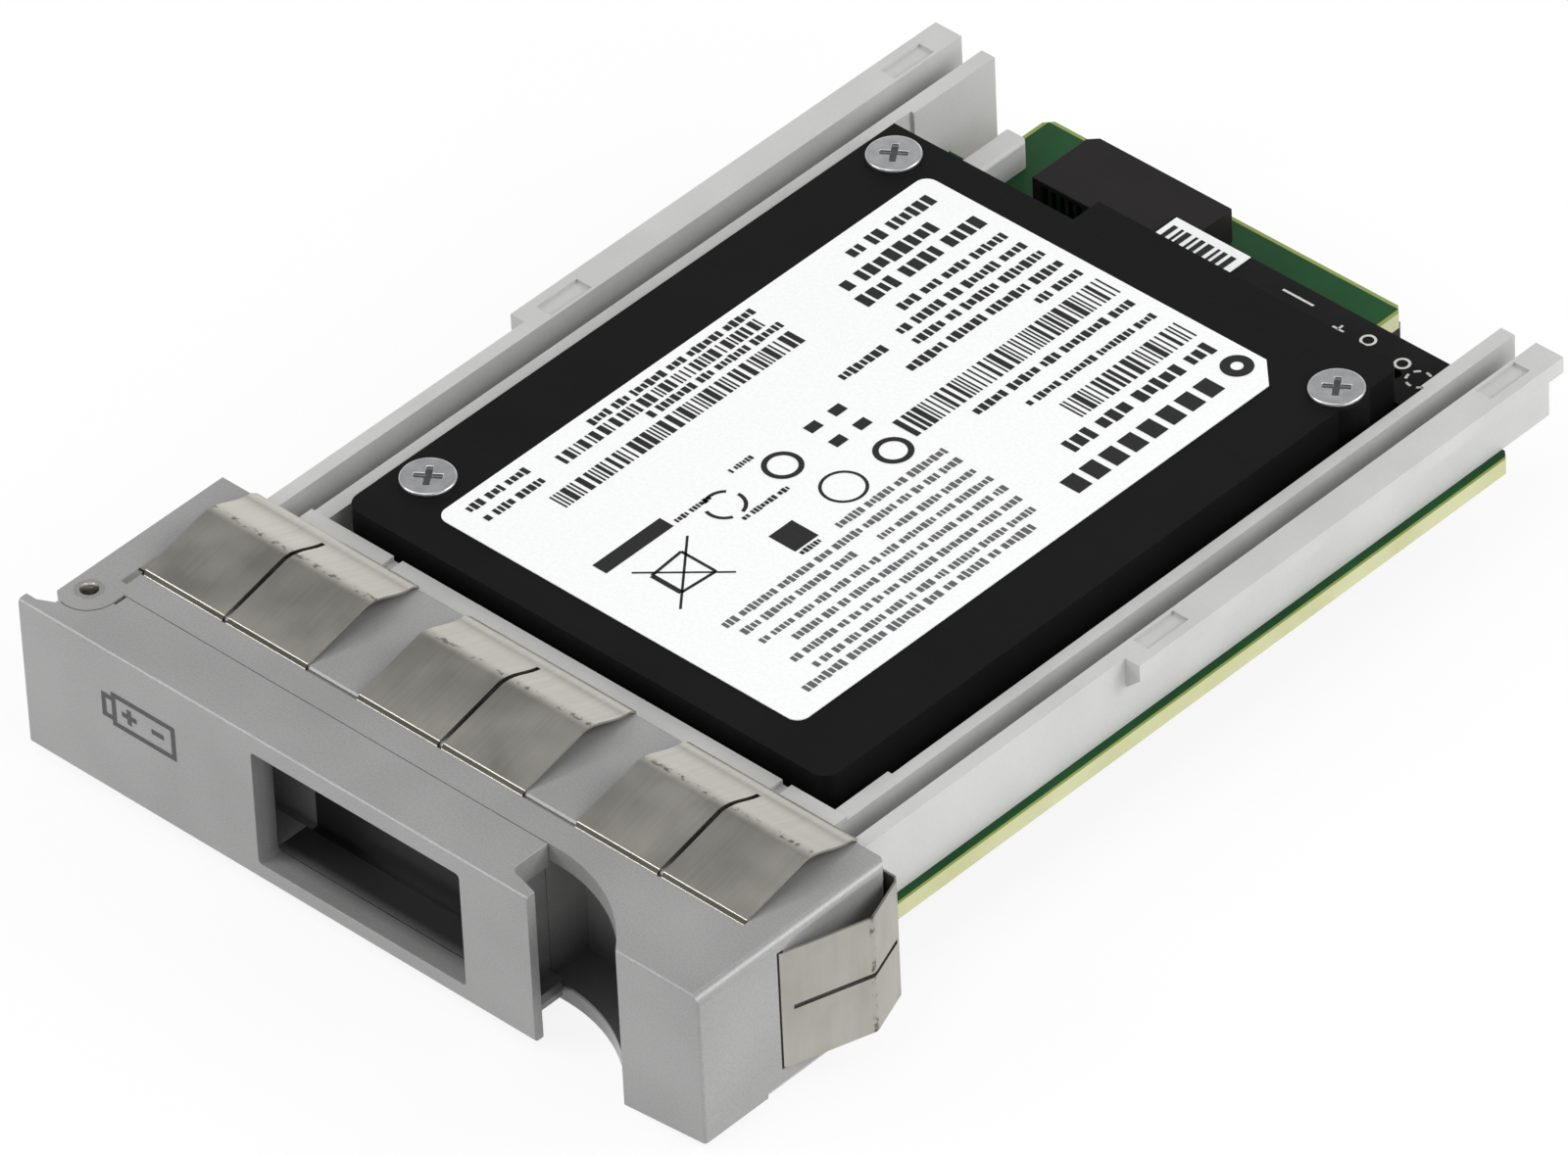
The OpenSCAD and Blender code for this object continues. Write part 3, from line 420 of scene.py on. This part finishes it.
# Print on the pack's label. Rows run from the rear to the front: x of the row's middle, y where it starts and
# ends, and its height, all in mm. The print lies lift mm above the film.
labelPrint = {
    "lift": 0.02, "seed": 4,
    "heading": (16.95, 84.0, 65.4, 2.2),
    "wordRows": [
        (13.4, 87.0, 69.4, 1.7), (7.05, 87.1, 71.2, 0.85), (4.5, 87.2, 66.8, 1.05), (-1.5, 87.4, 81.5, 1.05),
        (-3.55, 87.3, 67.6, 1.1), (-5.6, 87.3, 71.5, 1.1), (-7.0, 69.5, 63.8, 1.05), (-7.5, 87.1, 71.0, 1.1),
        (-9.6, 87.0, 73.0, 1.1), (-12.5, 87.2, 72.2, 1.7), (-14.95, 84.1, 72.2, 1.7), (-17.6, 86.7, 76.3, 1.45),
        (-15.7, 66.2, 49.6, 0.95), (-18.7, 66.0, 46.0, 0.95), (-16.6, 38.6, 31.3, 0.95), (-18.5, 38.7, 31.1, 0.95),
        (6.0, 47.6, 45.3, 0.6), (-0.6, 50.9, 45.2, 0.6), (-5.6, 51.9, 48.9, 0.6), (-4.6, 45.8, 41.5, 0.6)],
    "fineRows": [
        (18.0, 60.2, 32.6, 0.95), (16.5, 61.9, 35.2, 0.8), (14.7, 62.2, 34.9, 0.8), (12.9, 62.5, 36.2, 0.8),
        (11.2, 62.6, 34.6, 0.8), (9.5, 62.4, 50.8, 0.8), (7.6, 62.7, 34.2, 0.85), (5.9, 62.8, 49.0, 0.85),
        (9.3, 48.2, 34.6, 0.85)],
    "stripeRows": [
        (10.3, 87.4, 72.9, 2.6), (1.55, 87.6, 63.0, 2.8), (-13.6, 65.9, 37.3, 2.0), (-17.2, 65.2, 41.6, 1.4)],
    "blocks": [(-5.1, 37.2, 1.6, 8.0), (4.0, 46.6, 3.0, 2.8), (-1.6, 60.9, 1.1, 1.4), (-4.4, 60.9, 1.1, 1.4),
               (-1.6, 58.0, 1.1, 1.4), (-4.4, 58.0, 1.1, 1.4)],
    "rings": [(16.8, 86.5, 1.45, 0.55), (2.7, 60.0, 1.75, 1.2), (-2.9, 52.7, 1.8, 1.3), (2.8, 53.9, 2.1, 1.8)],
    "arcs": [(-3.0, 45.9, 1.9, 1.55)],
    "strokes": [((-2.6, 41.0), (3.4, 33.8), 0.22), ((-2.8, 34.6), (3.6, 40.2), 0.22), ((-1.3, 35.4), (2.0, 35.4), 0.5),
                ((-1.3, 35.4), (-1.6, 39.2), 0.3), ((2.0, 35.4), (2.3, 39.2), 0.3), ((-1.6, 39.2), (2.3, 39.2), 0.3)]}


def wordRow(draw, x, start, end, height):
    shapes = []
    y = start
    while y > end + height:
        for _ in range(draw.randint(2, 8)):
            length = height * draw.uniform(0.35, 0.62)
            if y - length > end:
                shapes.append(block(x, y - length / 2, height * draw.choice((0.75, 0.9, 1)), length))
            y -= length + height * 0.17
        y -= height * 0.4
    return shapes


def stripeRow(draw, x, start, end, height):
    shapes = []
    y = start
    while y > end:
        line = draw.choice((0.2, 0.2, 0.4, 0.6))
        shapes.append(block(x, y - line / 2, height, line))
        y -= line + draw.choice((0.2, 0.2, 0.38))
    return shapes


def labelShapes(s):
    draw = random.Random(s["seed"])
    x, start, end, height = s["heading"]
    letters = 8
    step = (start - end) / letters
    shapes = [block(x, start - step * (i + 0.5), height, step * 0.72) for i in range(letters)]
    for row in s["wordRows"]:
        shapes += wordRow(draw, *row)
    for row in s["stripeRows"]:
        shapes += stripeRow(draw, *row)
    shapes += [block(*b) for b in s["blocks"]]
    for one in s["rings"]:
        shapes += ring(*one)
    for one in s["arcs"]:
        for start in (10, 130, 250):
            shapes += ring(*one, start, start + 85)
    shapes += [stroke(*line) for line in s["strokes"]]
    return shapes


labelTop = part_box("battery_label")[1][2] / mm + labelPrint["lift"]
labelPrintInk = printedFilm("black_label_ink", labelInk)
fineRows = random.Random(labelPrint["seed"] + 1)
finePrint = [shape for row in labelPrint["fineRows"] for shape in wordRow(fineRows, *row)]
printShapes("label_print", labelShapes(labelPrint), lambda x, y: (x, y, labelTop), labelPrintInk)
printShapes("label_fine_print", finePrint, lambda x, y: (x, y, labelTop), printedFilm("grey_label_ink", fineInk))

# Plain stripes on the small label: each bar's distance from the label's middle and its width, in mm
codePrint = {"lift": 0.02, "middle": (-0.1, 99.35), "height": 4.1,
             "bars": [(-3.3, 0.5), (-2.5, 0.3), (-1.8, 0.6), (-0.9, 0.3), (-0.2, 0.5), (0.7, 0.7), (1.6, 0.3),
                      (2.3, 0.5), (3.2, 0.6)]}
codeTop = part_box("code_label")[1][2] / mm + codePrint["lift"]
middle = codePrint["middle"]
printShapes("code_print", [block(middle[0] + x, middle[1], w, codePrint["height"]) for x, w in codePrint["bars"]],
            lambda x, y: (x, y, codeTop), labelPrintInk)

# White marks round the test pads at the rear corner of the pack's board
boardPrint = {"lift": 0.02, "rings": [(18.9, 100.4, 0.75, 0.5), (23.1, 99.9, 0.75, 0.5)], "dashed": (25.5, 99.2, 1.2, 0.95),
              "strokes": [((15.4, 99.9), (16.6, 99.9), 0.22), ((16.0, 99.3), (16.0, 100.5), 0.22),
                          ((9.0, 100.9), (12.4, 100.9), 0.25)]}
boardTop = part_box("battery_board")[1][2] / mm + boardPrint["lift"]
marks = [stroke(*line) for line in boardPrint["strokes"]]
for one in boardPrint["rings"]:
    marks += ring(*one)
for start in range(0, 360, 60):
    marks += ring(*boardPrint["dashed"], start, start + 34)
printShapes("board_print", marks, lambda x, y: (x, y, boardTop), printedFilm("white_board_ink", boardInk))

# The plain battery outline on the lever's front, in mm across and up
leverPrint = {"lift": 0.02, "line": 0.5, "case": (-28.3, -21.5, 8.7, 11.75), "cap": (-29.7, 9.2, 11.25),
              "signWidth": 0.5, "signs": [((-27.4, 10.25), (-26.8, 10.25)), ((-26.3, 10.25), (-25.7, 10.25)),
                        ((-26.55, 9.45), (-26.55, 11.05)), ((-24.0, 10.25), (-22.6, 10.25))]}


def leverShapes(s):
    shapes = []
    line = s["line"]
    left, right, low, high = s["case"]
    middle = (low + high) / 2
    shapes += [block((left + right) / 2, z, right - left + line, line) for z in (low, high)]
    shapes += [block(x, middle, line, high - low - line) for x in (left, right)]
    tip, low, high = s["cap"]
    length = left - tip - line / 2
    shapes += [block(tip + length / 2, z, length, line) for z in (low, high)]
    shapes += [block(tip + line / 2, middle, line, high - low - line)]
    return shapes + [stroke(start, end, s["signWidth"]) for start, end in s["signs"]]


printShapes("lever_print", leverShapes(leverPrint), lambda x, z: (x, -leverPrint["lift"], z),
            printedFilm("grey_screen_ink", screenInk), "lever")
print("labels and lever printed")


# The camera's aim is in mm, its turns in degrees, its lens for a 36 mm wide sensor
cameraSettings = {"target": (0.69, 48.6, 9.01), "azimuth": 44.78, "elevation": 39.486, "roll": -2.765,
                  "distance": 1226.8, "lens": 343.8}


def placeCamera(s):
    azimuth, elevation, roll = (math.radians(s[k]) for k in ("azimuth", "elevation", "roll"))
    level = math.cos(elevation)
    forward = Vector((-math.sin(azimuth) * level, math.cos(azimuth) * level, -math.sin(elevation)))
    flat = Vector((math.cos(azimuth), math.sin(azimuth), 0))
    steep = flat.cross(forward)
    right = flat * math.cos(roll) + steep * math.sin(roll)
    up = steep * math.cos(roll) - flat * math.sin(roll)
    lens = bpy.data.cameras.new("camera")
    lens.lens = s["lens"]
    lens.sensor_width = 36
    lens.clip_end = 10
    holder = bpy.data.objects.new("camera", lens)
    turn = Matrix((right, up, -forward)).transposed().to_4x4()
    turn.translation = (Vector(s["target"]) - forward * s["distance"]) * mm
    holder.matrix_world = turn
    bpy.context.collection.objects.link(holder)
    bpy.context.scene.camera = holder


# Soft boxes: place in mm from the module's middle, size in mm, power in watts
softBoxes = {
    "overhead": {"place": (-40, -210, 665), "size": 520, "power": 1.5},
    "front left": {"place": (-380, -450, 390), "size": 270, "power": 1.35},
    "right": {"place": (620, -60, 260), "size": 420, "power": 1.0},
    "right rear": {"place": (450, 385, 380), "size": 320, "power": 2.2},
    "rear card": {"place": (-380, 560, 168), "size": 400, "power": 0.35}}


def placeLights(boxes):
    middle = Vector((0, 50, 8))
    for name, s in boxes.items():
        light = bpy.data.lights.new(name, "AREA")
        light.size = s["size"] * mm
        light.energy = s["power"]
        holder = bpy.data.objects.new(name, light)
        offset = Vector(s["place"])
        holder.location = (middle + offset) * mm
        holder.rotation_euler = offset.to_track_quat("Z", "Y").to_euler()
        bpy.context.collection.objects.link(holder)


# A white board under the module, and a room that is pale round the sides and greyer overhead. White is the share
# of plain white that the camera and the reflections see in the board, so that its shadow stays faint.
studio = {"board": "#f4f4f4", "white": 0.87, "walls": 0.95, "ceiling": 0.35, "tint": "#f8f9fa"}


def makeStudio(s):
    look = {"Base Color": colour(s["board"]), "Roughness": 0.9, "Specular IOR Level": 0.1}
    material, tree, surface, where = startMaterial("white_studio_board", look)
    ray = addNode(tree, "ShaderNodeLightPath")
    mirrored = addNode(tree, "ShaderNodeMath", {0: ray.outputs["Is Glossy Ray"],
                                                1: ray.outputs["Is Transmission Ray"]}, operation="ADD")
    seen = addNode(tree, "ShaderNodeMath", {0: ray.outputs["Is Camera Ray"], 1: mirrored.outputs[0]}, operation="ADD")
    share = addNode(tree, "ShaderNodeMath", {0: seen.outputs[0], 1: s["white"]}, operation="MULTIPLY")
    plain = addNode(tree, "ShaderNodeEmission", {"Color": colour("#ffffff"), "Strength": 1.0})
    blend = addNode(tree, "ShaderNodeMixShader", {0: share.outputs[0], 1: surface.outputs[0], 2: plain.outputs[0]})
    tree.links.new(blend.outputs[0], tree.nodes["Material Output"].inputs["Surface"])
    bpy.ops.mesh.primitive_plane_add(size=6, location=(0, 0.05, -0.0002))
    floor = bpy.context.object
    floor.name = "studio_floor"
    floor.data.materials.append(material)
    world = bpy.data.worlds.new("studio")
    world.use_nodes = True
    tree = world.node_tree
    height = addNode(tree, "ShaderNodeSeparateXYZ", {0: addNode(tree, "ShaderNodeTexCoord").outputs["Generated"]})
    fade = addNode(tree, "ShaderNodeMapRange", {"Value": height.outputs["Z"], "From Min": 0.26, "From Max": 0.55,
                                                "To Min": s["walls"], "To Max": s["ceiling"]})
    room = tree.nodes["Background"]
    room.inputs["Color"].default_value = colour(s["tint"])
    tree.links.new(fade.outputs[0], room.inputs["Strength"])
    bpy.context.scene.world = world


placeCamera(cameraSettings)
placeLights(softBoxes)
makeStudio(studio)
bpy.context.scene.view_settings.view_transform = "Standard"
print("studio, lights and camera placed")
